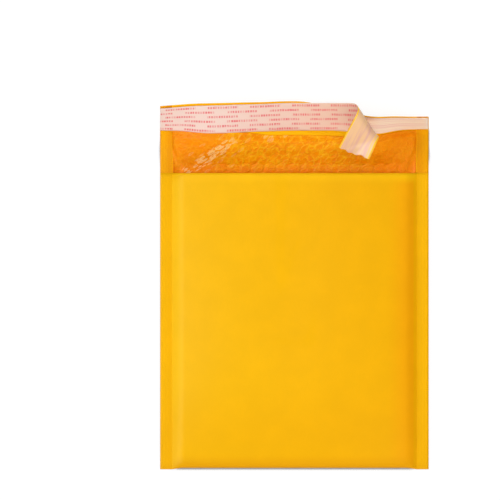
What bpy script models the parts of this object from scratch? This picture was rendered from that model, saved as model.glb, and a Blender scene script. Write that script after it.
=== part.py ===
"""Padded envelope, lying on its back with the flap raised and its release liner partly peeled.

One sheet of yellow paper is folded at the bottom, sealed along both sides and runs on past the mouth
as the flap. A bubble film lines it, also as one folded web. The flap carries a band of adhesive under
a release liner, whose free end is folded over and hangs down in front of the flap.

The frame has +X to the right across the width, +Y from the bottom fold to the mouth and +Z up.
The origin is on the resting face, midway between the seams and between the fold and the mouth.
A sheet is mapped from (x, station): x runs across, and a station is a place along the sheet.
All sizes are in metres and all angles in degrees unless a name says otherwise.
"""

import math

import bmesh
import bpy
from mathutils import Matrix, Vector

# Pouch and flap
ENVELOPE_WIDTH = 0.1842
POUCH_LENGTH = 0.2032
FLAP_LENGTH = 0.0578
SEAM_WIDTH = 0.0082
SEAM_WELD = 0.0003
PAPER = 0.0003
FOLD_PULL = 0.0009

# Padding
BUBBLE_FILM = 0.0034
FLAT_FILM = 0.0008
FACING_GAP = 0.0002
FOLD_SQUEEZE = 0.85
SHOULDER = 0.0085
LINING_INSET = 0.0026
BUBBLE_PITCH = 0.0084
BUBBLE_DIAMETER = 0.0076
BUBBLE_ROWS_INSIDE = 1

# Puffed shape of the front
PUFF = 0.0095
MOUTH_GAPE = 0.0086
PUFF_PEAK = 0.42
CROWN_POWER = 2.8

# Closure
FLAP_MARGIN = 0.0004
LINER_WIDTH = 0.0252
LINER = 0.00025
ADHESIVE = 0.0003
ADHESIVE_INSET = 0.0006
BAND_SKEW = 0.0010
FILM_SETBACK = 0.0032
BOND_GAP = 0.0003

# Curl of the flap: place across the width from 0 to 1, lift of the padded part, lift of the adhesive band
FLAP_CURL = (
    (0.00, 9.0, 54.3),
    (0.07, 15.0, 50.2),
    (0.18, 29.0, 41.5),
    (0.37, 23.4, 42.1),
    (0.52, 20.3, 41.9),
    (0.61, 21.0, 49.5),
    (0.69, 24.0, 57.5),
    (0.76, 28.0, 63.5),
    (0.82, 30.2, 64.6),
    (0.91, 10.0, 70.7),
    (1.00, 1.0, 72.0),
)
CURL_START = 0.012
CURL_BLEND = 0.010
TRAY_FADE = 0.020

# Peeled end of the release liner
LIFT_OFF_X = 0.003
LIFT_START = 13.4
LIFT_ANGLE = 25.8
LIFT_BEND = 0.008
LIFT_FLATTENING = 11.9
FLATTEN_FROM = 0.0280
FLATTEN_TO = 0.0597
FREE_RUN = 0.0383
TORN_OFF = 0.0036
FOLD_ANGLE = 57.7
ROLL_TURN = 169.0
ROLL_LENGTH = 0.0190
TAIL_CURL = 2.0

# Mesh density
MIDDLE_COLUMNS = 9
SHOULDER_COLUMNS = 3
FRONT_ROWS = 10
BACK_ROWS = 6
FOLD_ROWS = 6
FLAP_ROWS = 18
BAND_ROWS = 7
PATH_STEP = 0.0005

# Places worked out from the sizes above
INNER_HALF = ENVELOPE_WIDTH / 2 - SEAM_WIDTH
MOUTH_Y = POUCH_LENGTH / 2
SEAM_HALF = PAPER + SEAM_WELD / 2
FULL_RISE = PAPER + BOND_GAP + BUBBLE_FILM + FACING_GAP
SEAM_Z = FULL_RISE
BAND_START = FLAP_LENGTH - FLAP_MARGIN - LINER_WIDTH
LINING_END = BAND_START - FILM_SETBACK
LINING_DEPTH = PAPER + BOND_GAP
ADHESIVE_DEPTH = PAPER + BOND_GAP
LINER_DEPTH = ADHESIVE_DEPTH + ADHESIVE + BOND_GAP


def ease(t):
    """Smooth step from 0 at t = 0 to 1 at t = 1, held outside."""
    t = min(max(t, 0.0), 1.0)
    return t * t * (3 - 2 * t)


def spread(start, end, count):
    """Places from start towards end in count equal steps, with end left out."""
    return [start + (end - start) * i / count for i in range(count)]


def curl_at(x):
    """Lift of the padded part and of the adhesive band of the flap at x, in radians."""
    place = min(max(x / ENVELOPE_WIDTH + 0.5, 0.0), 1.0)
    last = len(FLAP_CURL) - 1
    i = max(k for k in range(last) if FLAP_CURL[k][0] <= place or k == 0)
    before, start, end, after = (FLAP_CURL[min(max(k, 0), last)] for k in (i - 1, i, i + 1, i + 2))
    span = end[0] - start[0]
    t = (place - start[0]) / span
    lifts = []
    for n in (1, 2):
        leaving = (end[n] - before[n]) / max(end[0] - before[0], span) * span
        arriving = (after[n] - start[n]) / max(after[0] - start[0], span) * span
        lifts.append(
            (2 * t**3 - 3 * t**2 + 1) * start[n]
            + (t**3 - 2 * t**2 + t) * leaving
            + (3 * t**2 - 2 * t**3) * end[n]
            + (t**3 - t**2) * arriving
        )
    return [math.radians(lift) for lift in lifts]


def shoulder(x):
    """0 on the seam, 1 where the padding has its full thickness."""
    inset = (INNER_HALF - abs(x)) / SHOULDER
    return math.sin(math.pi / 2 * min(max(inset, 0.0), 1.0))


def wall_rise(x):
    """Height from the seam's plane to the outside of either wall, before the front is puffed."""
    return SEAM_HALF + (FULL_RISE - SEAM_HALF) * shoulder(x)


def puff(x, reach):
    """Extra height of the front wall. reach is 0 at the bottom fold and 1 at the mouth."""
    crown = 1 - min(abs(x) / INNER_HALF, 1.0) ** CROWN_POWER
    rising = 1 - max(0.0, 1 - reach / PUFF_PEAK) ** 2
    falling = ease((reach - PUFF_PEAK) / (1 - PUFF_PEAK))
    return crown * (PUFF * rising - (PUFF - MOUTH_GAPE) * falling)


def fold_start(x):
    """Where the wall's rounded bottom begins, along Y."""
    return -POUCH_LENGTH / 2 + FOLD_PULL * shoulder(x) + wall_rise(x)


def path(turn, length):
    """Distance forward and up after walking length, where turn gives the slope at each place."""
    steps = max(1, math.ceil(length / PATH_STEP))
    stride = length / steps
    slopes = [turn((i + 0.5) * stride) for i in range(steps)]
    return (
        sum(math.cos(slope) for slope in slopes) * stride,
        sum(math.sin(slope) for slope in slopes) * stride,
    )


def outside(x, station):
    """A point on the outer face of the paper. A station is a part of the sheet and a place along it."""
    part, place = station
    rise = wall_rise(x)
    start = fold_start(x)
    if part == "front":
        y = MOUTH_Y + (start - MOUTH_Y) * place
        return Vector((x, y, SEAM_Z + rise + puff(x, 1 - place)))
    if part == "fold":
        turn = math.pi * place
        return Vector((x, start - rise * math.sin(turn), SEAM_Z + rise * math.cos(turn)))
    if part == "back":
        return Vector((x, start + (MOUTH_Y - start) * place, SEAM_Z - rise))
    padded, band = curl_at(x)

    def slope(s):
        low = padded * ease(s / CURL_START)
        return low + (band - low) * ease((s - BAND_START) / CURL_BLEND + 0.8)

    forward, up = path(slope, place)
    tray = (SEAM_Z - rise) * (1 - ease(place / TRAY_FADE))
    return Vector((x, MOUTH_Y + forward, tray + up))


def on_sheet(x, station, depth):
    """A point at depth from the outer face, towards the inside of the pouch or the flap's inner face."""
    part, place = station
    nudge = 1e-4 if part == "flap" else 1e-3
    across = outside(x + 1e-4, station) - outside(x - 1e-4, station)
    along = outside(x, (part, place + nudge)) - outside(x, (part, place - nudge))
    return outside(x, station) + across.cross(along).normalized() * depth


def skew(x):
    """How far the closure band runs lower on the flap at its left, where it was put on a little askew."""
    return BAND_SKEW * max(0.0, LIFT_OFF_X - x) / (LIFT_OFF_X + ENVELOPE_WIDTH / 2)


def columns(half_width, inset):
    """Places across a sheet, closer together over the padding's shoulders."""
    edge = INNER_HALF - inset
    half = spread(0, INNER_HALF - SHOULDER, MIDDLE_COLUMNS)
    half += spread(INNER_HALF - SHOULDER, edge, SHOULDER_COLUMNS)
    half += [edge] if half_width <= edge else [edge, half_width]
    return [-x for x in reversed(half[1:])] + half


def stations(flap_end):
    """Places along a folded sheet, from the front's mouth edge round the fold to the flap."""
    rows = [("front", f) for f in spread(0, 1, FRONT_ROWS)]
    rows += [("fold", f) for f in spread(0, 1, FOLD_ROWS)]
    rows += [("back", f) for f in spread(0, 1, BACK_ROWS)]
    rows += [("flap", s) for s in spread(0, flap_end, FLAP_ROWS)]
    return rows + [("flap", flap_end)]


def add_sheet(name, across, along, place):
    """An open sheet: a flat grid whose point in column i and row j goes to place(across[i], along[j])."""
    bm = bmesh.new()
    last_column, last_row = len(across) - 1, len(along) - 1
    bmesh.ops.create_grid(bm, x_segments=last_column, y_segments=last_row, size=0.5)
    for vert in bm.verts:
        i = round((vert.co.x + 0.5) * last_column)
        j = round((vert.co.y + 0.5) * last_row)
        vert.co = place(across[i], along[j])
    mesh = bpy.data.meshes.new(name)
    bm.to_mesh(mesh)
    bm.free()
    mesh.shade_smooth()
    sheet = bpy.data.objects.new(name, mesh)
    envelope.objects.link(sheet)
    return sheet


def thicken(sheet, thickness):
    """Gives an open sheet its thickness, away from the face that its points lie on."""
    solidify = sheet.modifiers.new("thickness", "SOLIDIFY")
    solidify.thickness = thickness
    solidify.offset = 1
    solidify.use_even_offset = True
    return solidify


def join(target, cutter):
    """Joins a helper solid to the target with a Boolean union."""
    cutter.hide_render = True
    cutter.display_type = "WIRE"
    union = target.modifiers.new("join_" + cutter.name, "BOOLEAN")
    union.operation = "UNION"
    union.solver = "EXACT"
    union.object = cutter


def paint(node, color, roughness):
    """One plain material for a node."""
    material = bpy.data.materials.new(node.name)
    material.use_nodes = True
    shader = material.node_tree.nodes["Principled BSDF"]
    shader.inputs["Base Color"].default_value = (*color, 1)
    shader.inputs["Roughness"].default_value = roughness
    node.data.materials.append(material)


def add_seam_welds():
    """The sealed strips between the front and back paper along both sides."""
    bm = bmesh.new()
    clear = PAPER / 2
    length = POUCH_LENGTH - SEAM_HALF - clear
    middle = MOUTH_Y - clear - length / 2
    width = SEAM_WIDTH - 2 * clear
    for side in (-1, 1):
        made = bmesh.ops.create_cube(bm, size=1)
        bmesh.ops.scale(bm, vec=(width, length, SEAM_WELD + PAPER), verts=made["verts"])
        centre = Vector((side * (INNER_HALF + SEAM_WIDTH / 2), middle, SEAM_Z))
        bmesh.ops.translate(bm, vec=centre, verts=made["verts"])
    mesh = bpy.data.meshes.new("seam_welds")
    bm.to_mesh(mesh)
    bm.free()
    welds = bpy.data.objects.new("seam_welds", mesh)
    cutters.objects.link(welds)
    return welds


def add_paper_shell():
    """The outer paper: front, bottom fold, back and flap in one sheet, sealed along both sides."""
    across = columns(ENVELOPE_WIDTH / 2, 0)
    shell = add_sheet("paper_shell", across, stations(FLAP_LENGTH), outside)
    thicken(shell, PAPER)
    join(shell, add_seam_welds())
    paint(shell, (0.95, 0.48, 0.004), 0.75)


def bubbled(station):
    """1 where the lining shows its bubbles, 0 deep in the pouch where it is left smooth."""
    part, place = station
    if part == "flap":
        return 1.0
    if part != "back":
        return 0.0
    inside = BUBBLE_ROWS_INSIDE * BUBBLE_PITCH
    return ease((MOUTH_Y - outside(0, station).y) / -inside + 2)


def padding(x, station):
    """Thickness of the lining: film alone under the bubbles, full height elsewhere, crushed at its edges."""
    part, _ = station
    slope = (wall_rise(abs(x) - 1e-4) - wall_rise(abs(x) + 1e-4)) / 2e-4
    room = (wall_rise(x) - FACING_GAP) * math.cos(math.atan(slope)) - LINING_DEPTH
    full = BUBBLE_FILM * (FOLD_SQUEEZE if part == "fold" else 1.0)
    return min(room, full + (FLAT_FILM - full) * bubbled(station))


def add_bubbles():
    """The domes of the film, over the flap and just inside the mouth."""
    bm = bmesh.new()
    row_pitch = BUBBLE_PITCH * math.sqrt(3) / 2
    half = INNER_HALF - LINING_INSET - BUBBLE_DIAMETER / 2
    row = -BUBBLE_ROWS_INSIDE
    while (row + 0.5) * row_pitch + BUBBLE_DIAMETER / 2 < LINING_END:
        s = (row + 0.5) * row_pitch
        station = ("flap", s) if s >= 0 else ("back", 1 + s / (MOUTH_Y - fold_start(0)))
        count = int(2 * half / BUBBLE_PITCH) + (row % 2)
        for i in range(count):
            x = (i - (count - 1) / 2) * BUBBLE_PITCH
            if abs(x) > (half if s >= 0 else half - SHOULDER / 2):
                continue
            add_bubble(bm, x, station)
        row += 1
    mesh = bpy.data.meshes.new("bubbles")
    bm.to_mesh(mesh)
    bm.free()
    bubbles = bpy.data.objects.new("bubbles", mesh)
    cutters.objects.link(bubbles)
    return bubbles


def add_bubble(bm, x, station):
    """One dome, with its rim and flattened underside sunk in the flat film."""
    foot = on_sheet(x, station, LINING_DEPTH + FLAT_FILM / 2)
    top = on_sheet(x, station, LINING_DEPTH + BUBBLE_FILM)
    lean = (top - foot).to_track_quat("Z", "Y").to_matrix()
    height = (top - foot).length
    made = bmesh.ops.create_uvsphere(bm, u_segments=8, v_segments=6, radius=1)
    for vert in made["verts"]:
        vert.co.z *= height if vert.co.z > 0 else FLAT_FILM / 4
    bmesh.ops.scale(bm, vec=(BUBBLE_DIAMETER / 2, BUBBLE_DIAMETER / 2, 1), verts=made["verts"])
    bmesh.ops.rotate(bm, cent=(0, 0, 0), matrix=lean, verts=made["verts"])
    bmesh.ops.translate(bm, vec=foot, verts=made["verts"])


def add_bubble_lining():
    """The bubble film: one web folded with the paper, from the front's mouth edge to the adhesive band."""
    along = stations(LINING_END)
    across = columns(INNER_HALF - LINING_INSET, LINING_INSET)
    lining = add_sheet(
        "bubble_lining", across, along, lambda x, at: on_sheet(x, at, LINING_DEPTH)
    )
    group = lining.vertex_groups.new(name="padding")
    width = len(across)
    for index in range(len(lining.data.vertices)):
        x, station = across[index % width], along[index // width]
        group.add([index], padding(x, station) / BUBBLE_FILM, "REPLACE")
    thicken(lining, BUBBLE_FILM).vertex_group = group.name
    join(lining, add_bubbles())
    paint(lining, (0.86, 0.25, 0.004), 0.25)


def add_adhesive_strip():
    """The band of adhesive across the flap."""
    half = ENVELOPE_WIDTH / 2 - ADHESIVE_INSET
    across = spread(-half, half, 6 * MIDDLE_COLUMNS) + [half]
    end = BAND_START + LINER_WIDTH - ADHESIVE_INSET
    along = [("flap", s) for s in spread(BAND_START + ADHESIVE_INSET, end, BAND_ROWS)] + [("flap", end)]

    def on_band(x, station):
        return on_sheet(x, (station[0], station[1] - skew(x)), ADHESIVE_DEPTH)

    strip = add_sheet("adhesive_strip", across, along, on_band)
    thicken(strip, ADHESIVE)
    paint(strip, (0.82, 0.50, 0.36), 0.3)


def lifted(length, s):
    """A point of the liner that has left the flap, by its distance from the lift-off line."""
    free_edge = on_sheet(LIFT_OFF_X, ("flap", BAND_START + LINER_WIDTH), LINER_DEPTH)
    across = on_sheet(LIFT_OFF_X, ("flap", s), LINER_DEPTH) - free_edge

    def slope(l):
        return math.radians(LIFT_START + (LIFT_ANGLE - LIFT_START) * ease(l / LIFT_BEND))

    forward, up = path(slope, length)
    near_end = (length - FLATTEN_FROM) / (FLATTEN_TO - FLATTEN_FROM)
    flattening = math.radians(LIFT_FLATTENING) * ease(near_end)
    flatten = Matrix.Rotation(-flattening, 3, "X")
    return free_edge + flatten @ across + Vector((forward, 0, up))


def on_liner(u, v):
    """A point of the liner, from its place when flat: u along it from the middle, v up from its lower edge."""
    s = BAND_START + v - skew(u)
    if u <= LIFT_OFF_X:
        return on_sheet(u, ("flap", s), LINER_DEPTH)
    run = u - LIFT_OFF_X
    angle = math.radians(FOLD_ANGLE)
    past = (run - FREE_RUN) * math.sin(angle) + (v - LINER_WIDTH) * math.cos(angle)
    if past <= 0:
        return lifted(run, s)
    foot_run = run - past * math.sin(angle)
    foot_s = s - past * math.cos(angle)
    foot = lifted(foot_run, foot_s)
    east = (foot - lifted(foot_run - 1e-3, foot_s)).normalized()
    north = (lifted(foot_run, foot_s + 1e-3) - lifted(foot_run, foot_s - 1e-3)).normalized()
    ahead = (east * math.sin(angle) + north * math.cos(angle)).normalized()
    above = east.cross(north).normalized()

    def turn(d):
        rolled = ROLL_TURN * ease(d / ROLL_LENGTH)
        tail = TAIL_CURL * max(0.0, d / ROLL_LENGTH - 1)
        return math.radians(rolled + tail)

    forward, up = path(turn, past)
    return foot + ahead * forward + above * up


def add_release_liner():
    """The release liner: bonded along the left of the flap, lifted and folded over at its right end."""
    half = ENVELOPE_WIDTH / 2
    across = spread(-half, LIFT_OFF_X, 3 * MIDDLE_COLUMNS)
    across += spread(LIFT_OFF_X, LIFT_OFF_X + FREE_RUN / 2, 6)
    end = half - TORN_OFF
    across += spread(LIFT_OFF_X + FREE_RUN / 2, end, 40) + [end]
    along = spread(0, LINER_WIDTH, BAND_ROWS) + [LINER_WIDTH]
    liner = add_sheet("release_liner", across, along, on_liner)
    thicken(liner, LINER)
    paint(liner, (0.90, 0.70, 0.60), 0.5)


for old in list(bpy.data.objects):
    bpy.data.objects.remove(old)
envelope = bpy.data.collections.new("padded_envelope")
cutters = bpy.data.collections.new("cutters")
for collection in (envelope, cutters):
    bpy.context.scene.collection.children.link(collection)

add_paper_shell()
add_bubble_lining()
add_adhesive_strip()
add_release_liner()
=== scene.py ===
"""Padded envelope, lying on its back with the flap raised and its release liner partly peeled.

The paper, the bubble film, the adhesive and the liner are each one piece. Each is a dense sheet that
follows the same shape as its solid in the frame, with the finer forms and the finish added.
"""

import logging
import math
from dataclasses import dataclass, field
from enum import Enum
from functools import lru_cache
from typing import Callable, Sequence

import bmesh
import bpy
import numpy as np
from mathutils import Matrix, Vector


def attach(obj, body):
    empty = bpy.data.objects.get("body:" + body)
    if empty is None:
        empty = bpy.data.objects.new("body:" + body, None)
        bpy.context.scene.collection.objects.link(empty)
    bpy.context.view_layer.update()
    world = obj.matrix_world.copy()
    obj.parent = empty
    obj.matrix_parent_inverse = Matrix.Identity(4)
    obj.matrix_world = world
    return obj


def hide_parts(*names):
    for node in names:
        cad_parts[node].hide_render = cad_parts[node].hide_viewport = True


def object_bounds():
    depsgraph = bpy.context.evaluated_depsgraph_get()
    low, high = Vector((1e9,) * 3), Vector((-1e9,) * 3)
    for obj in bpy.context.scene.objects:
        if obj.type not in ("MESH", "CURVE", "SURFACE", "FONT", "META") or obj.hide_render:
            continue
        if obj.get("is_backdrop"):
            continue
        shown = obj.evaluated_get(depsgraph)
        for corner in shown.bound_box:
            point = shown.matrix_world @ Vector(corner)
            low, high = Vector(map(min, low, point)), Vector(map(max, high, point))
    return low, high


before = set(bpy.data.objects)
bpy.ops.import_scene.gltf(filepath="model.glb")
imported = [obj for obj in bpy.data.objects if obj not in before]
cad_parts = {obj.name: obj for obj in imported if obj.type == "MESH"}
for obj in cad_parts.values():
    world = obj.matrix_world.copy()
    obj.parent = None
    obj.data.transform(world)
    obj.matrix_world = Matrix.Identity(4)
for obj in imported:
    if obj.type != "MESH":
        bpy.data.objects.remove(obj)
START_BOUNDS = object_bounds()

LOG = logging.getLogger("padded_envelope")
Color = tuple[float, float, float]
Span = tuple[float, float]
Socket = bpy.types.NodeSocket
WALK_STEP = 0.0004
NUDGE = 1e-4
WIDE_NUDGE = 1e-3


def rgb(red: int, green: int, blue: int) -> Color:
    """A screen colour from 0 to 255 as the linear colour that a shader takes."""

    def linear(part: int) -> float:
        """One part made linear."""
        value = part / 255
        return value / 12.92 if value <= 0.04045 else ((value + 0.055) / 1.055) ** 2.4

    return linear(red), linear(green), linear(blue)


def ease(t: np.ndarray | float) -> np.ndarray:
    """Smooth step from 0 at t = 0 to 1 at t = 1, held outside."""
    held = np.clip(t, 0.0, 1.0)
    return held * held * (3 - 2 * held)


def spread(start: float, end: float, count: int) -> list[float]:
    """Places from start towards end in count equal steps, with end left out."""
    return [start + (end - start) * i / count for i in range(count)]


class Part(Enum):
    """The parts of a folded sheet, in order from the mouth edge of the front."""

    FRONT = "front"
    FOLD = "fold"
    BACK = "back"
    FLAP = "flap"


Station = tuple[Part, float]
Run = tuple[tuple[float, float], tuple[float, float], float]


@dataclass(frozen=True)
class EnvelopeShape:
    """The shape that every sheet follows. x runs across, and a station is a part and a place along it."""

    width: float = 0.1842
    pouch_length: float = 0.2032
    flap_length: float = 0.0578
    seam_width: float = 0.0082
    seam_weld: float = 0.0003
    paper: float = 0.0003
    fold_pull: float = 0.0009
    bubble_film: float = 0.0034
    flat_film: float = 0.0008
    facing_gap: float = 0.0002
    bond_gap: float = 0.0003
    shoulder_width: float = 0.0085
    puff_height: float = 0.0095
    mouth_gape: float = 0.0086
    puff_peak: float = 0.42
    crown_power: float = 2.8
    flap_margin: float = 0.0004
    liner_width: float = 0.0252
    band_skew: float = 0.0010
    lift_off_x: float = 0.003
    curl_start: float = 0.012
    curl_blend: float = 0.010
    curl_lead: float = 0.8
    tray_fade: float = 0.020
    path_step: float = 0.0005
    flap_curl: tuple[tuple[float, float, float], ...] = (
        (0.00, 9.0, 54.3),
        (0.07, 15.0, 50.2),
        (0.18, 29.0, 41.5),
        (0.37, 23.4, 42.1),
        (0.52, 20.3, 41.9),
        (0.61, 21.0, 49.5),
        (0.69, 24.0, 57.5),
        (0.76, 28.0, 63.5),
        (0.82, 30.2, 64.6),
        (0.91, 10.0, 70.7),
        (1.00, 1.0, 72.0),
    )

    @property
    def inner_half(self) -> float:
        """Distance from the middle to the inner edge of a seam."""
        return self.width / 2 - self.seam_width

    @property
    def mouth_y(self) -> float:
        """Where the mouth is along Y."""
        return self.pouch_length / 2

    @property
    def seam_half(self) -> float:
        """Half the thickness of a seam."""
        return self.paper + self.seam_weld / 2

    @property
    def full_rise(self) -> float:
        """Height from the seam's plane to the outside of a wall with its padding."""
        return self.paper + self.bond_gap + self.bubble_film + self.facing_gap

    @property
    def band_start(self) -> float:
        """Where the closure band starts along the flap."""
        return self.flap_length - self.flap_margin - self.liner_width

    @property
    def lining_depth(self) -> float:
        """Depth of the film's bonded face below the outer face of the paper."""
        return self.paper + self.bond_gap

    def curl(self, x: np.ndarray) -> tuple[np.ndarray, np.ndarray]:
        """How far the flap lifts at each place across it.

        Args:
            x: Places across the width.

        Returns:
            The lift of the padded part and of the closure band, in radians.
        """
        knots = np.array(self.flap_curl)
        last = len(knots) - 1
        place = np.clip(x / self.width + 0.5, 0.0, 1.0)
        i = np.clip(np.searchsorted(knots[:, 0], place, side="right") - 1, 0, last - 1)
        before, start, end, after = (knots[np.clip(i + k, 0, last)] for k in (-1, 0, 1, 2))
        span = end[:, 0] - start[:, 0]
        t = (place - start[:, 0]) / span
        lifts = []
        for n in (1, 2):
            leaving = (end[:, n] - before[:, n]) / np.maximum(end[:, 0] - before[:, 0], span) * span
            arriving = (after[:, n] - start[:, n]) / np.maximum(after[:, 0] - start[:, 0], span) * span
            lifts.append(
                (2 * t**3 - 3 * t**2 + 1) * start[:, n]
                + (t**3 - 2 * t**2 + t) * leaving
                + (3 * t**2 - 2 * t**3) * end[:, n]
                + (t**3 - t**2) * arriving
            )
        return np.radians(lifts[0]), np.radians(lifts[1])

    def shoulder(self, x: np.ndarray) -> np.ndarray:
        """0 on the seam, 1 where the padding has its full thickness."""
        inset = (self.inner_half - np.abs(x)) / self.shoulder_width
        return np.sin(math.pi / 2 * np.clip(inset, 0.0, 1.0))

    def wall_rise(self, x: np.ndarray) -> np.ndarray:
        """Height from the seam's plane to the outside of either wall, before the front is puffed."""
        return self.seam_half + (self.full_rise - self.seam_half) * self.shoulder(x)

    def puff(self, x: np.ndarray, reach: float) -> np.ndarray:
        """Extra height of the front wall. reach is 0 at the bottom fold and 1 at the mouth."""
        crown = 1 - np.minimum(np.abs(x) / self.inner_half, 1.0) ** self.crown_power
        rising = 1 - max(0.0, 1 - reach / self.puff_peak) ** 2
        falling = ease((reach - self.puff_peak) / (1 - self.puff_peak))
        return crown * (self.puff_height * rising - (self.puff_height - self.mouth_gape) * falling)

    def skew(self, x: np.ndarray | float) -> np.ndarray:
        """How far the closure band runs lower on the flap at its left, where it was put on a little askew."""
        reach = np.maximum(0.0, self.lift_off_x - np.asarray(x, dtype=float))
        return self.band_skew * reach / (self.lift_off_x + self.width / 2)

    def fold_start(self, x: np.ndarray) -> np.ndarray:
        """Where the wall's rounded bottom begins, along Y."""
        return -self.pouch_length / 2 + self.fold_pull * self.shoulder(x) + self.wall_rise(x)

    def flap_path(self, x: np.ndarray, length: float) -> tuple[np.ndarray, np.ndarray]:
        """Distance forward and up after walking along the flap from the mouth.

        Args:
            x: Places across the width.
            length: The distance walked on the sheet.

        Returns:
            The distances forward and up at each x.
        """
        padded, band = self.curl(x)
        steps = max(1, math.ceil(length / self.path_step))
        stride = length / steps
        s = ((np.arange(steps) + 0.5) * stride)[:, None]
        low = padded[None, :] * ease(s / self.curl_start)
        slope = low + (band[None, :] - low) * ease((s - self.band_start) / self.curl_blend + self.curl_lead)
        return np.cos(slope).sum(axis=0) * stride, np.sin(slope).sum(axis=0) * stride

    def outside(self, x: np.ndarray, station: Station) -> np.ndarray:
        """Points on the outer face of the paper.

        Args:
            x: Places across the width.
            station: The place along the sheet.

        Returns:
            One row of points, in the frame's axes.
        """
        part, place = station
        rise = self.wall_rise(x)
        start = self.fold_start(x)
        seam_z = self.full_rise
        if part is Part.FRONT:
            y = self.mouth_y + (start - self.mouth_y) * place
            return np.stack([x, y, seam_z + rise + self.puff(x, 1 - place)], axis=1)
        if part is Part.FOLD:
            turn = math.pi * place
            y, z = start - rise * math.sin(turn), seam_z + rise * math.cos(turn)
            return np.stack([x, y, z], axis=1)
        if part is Part.BACK:
            return np.stack([x, start + (self.mouth_y - start) * place, seam_z - rise], axis=1)
        forward, up = self.flap_path(x, place)
        tray = (seam_z - rise) * (1 - ease(place / self.tray_fade))
        return np.stack([x, self.mouth_y + forward, tray + up], axis=1)

    def inward(self, x: np.ndarray, station: Station) -> np.ndarray:
        """Directions from the outer face towards the inside of the pouch, or the flap's inner face.

        Args:
            x: Places across the width.
            station: The place along the sheet.

        Returns:
            One row of unit vectors.
        """
        part, place = station
        nudge = NUDGE if part is Part.FLAP else WIDE_NUDGE
        across = self.outside(x + NUDGE, station) - self.outside(x - NUDGE, station)
        along = self.outside(x, (part, place + nudge)) - self.outside(x, (part, place - nudge))
        normal = np.cross(across, along)
        return normal / np.linalg.norm(normal, axis=1, keepdims=True)

    def on_sheet(self, x: np.ndarray, station: Station, depth: np.ndarray | float) -> np.ndarray:
        """One row of points at a depth from the outer face, or at one depth for each x."""
        depths = np.broadcast_to(depth, x.shape)[:, None]
        return self.outside(x, station) + self.inward(x, station) * depths

    def flat_length(self, station: Station) -> float:
        """Distance along the flat sheet from the mouth edge of the front."""
        part, place = station
        middle = np.zeros(1)
        panel = float(self.mouth_y - self.fold_start(middle)[0])
        turn = math.pi * float(self.wall_rise(middle)[0])
        starts = {Part.FRONT: 0.0, Part.FOLD: panel, Part.BACK: panel + turn, Part.FLAP: 2 * panel + turn}
        scale = {Part.FRONT: panel, Part.FOLD: turn, Part.BACK: panel, Part.FLAP: 1.0}
        return starts[part] + place * scale[part]


class MeshTools:
    """The few steps by which every piece is made."""

    @staticmethod
    def linked(name: str, data: bpy.types.ID) -> bpy.types.Object:
        """A new object round its data, linked to the scene."""
        thing = bpy.data.objects.new(name, data)
        bpy.context.scene.collection.objects.link(thing)
        return thing

    @staticmethod
    def finished(name: str, bm: bmesh.types.BMesh) -> bpy.types.Object:
        """A new object made from a bmesh, which is freed."""
        mesh = bpy.data.meshes.new(name)
        bm.to_mesh(mesh)
        bm.free()
        return MeshTools.linked(name, mesh)

    @staticmethod
    def sheet(name: str, points: np.ndarray, flat: np.ndarray) -> bpy.types.Object:
        """An open sheet: a flat grid whose points are moved into place.

        Args:
            name: The piece's name.
            points: Rows of points, as rows by columns by 3.
            flat: Where each point is on the flat sheet, as rows by columns by 2.

        Returns:
            The piece, linked to the scene, with its flat places as its UV map.
        """
        rows, cols = points.shape[:2]
        bm = bmesh.new()
        bmesh.ops.create_grid(bm, x_segments=cols - 1, y_segments=rows - 1, size=0.5)
        bm.verts.ensure_lookup_table()
        layer = bm.loops.layers.uv.new("flat")
        for index, vert in enumerate(bm.verts):
            vert.co = points[index // cols, index % cols]
        for face in bm.faces:
            face.smooth = True
            for loop in face.loops:
                index = loop.vert.index
                loop[layer].uv = flat[index // cols, index % cols]
        return MeshTools.finished(name, bm)

    @staticmethod
    def weight(piece: bpy.types.Object, name: str, values: np.ndarray) -> bpy.types.VertexGroup:
        """A vertex group with one value for each point of a sheet."""
        group = piece.vertex_groups.new(name=name)
        for index, value in enumerate(values.reshape(-1)):
            group.add([index], float(value), "REPLACE")
        return group

    @staticmethod
    def crease(piece: bpy.types.Object, columns: int, creased: set[int]) -> None:
        """Marks the edges along the creased columns of a sheet with so many columns of points as sharp, so
        its shading breaks there.
        """
        for edge in piece.data.edges:
            places = {index % columns for index in edge.vertices}
            edge.use_edge_sharp = len(places) == 1 and places <= creased

    @staticmethod
    def thicken(piece: bpy.types.Object, thickness: float, group: str = "") -> bpy.types.SolidifyModifier:
        """Gives a sheet its thickness, away from the face that its points lie on.

        Args:
            piece: The open sheet.
            thickness: The thickness in metres.
            group: The vertex group that scales it, if any.

        Returns:
            The modifier.
        """
        solidify = piece.modifiers.new("thickness", "SOLIDIFY")
        solidify.thickness = thickness
        solidify.offset = 1
        solidify.use_even_offset = not group
        solidify.vertex_group = group
        return solidify


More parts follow.
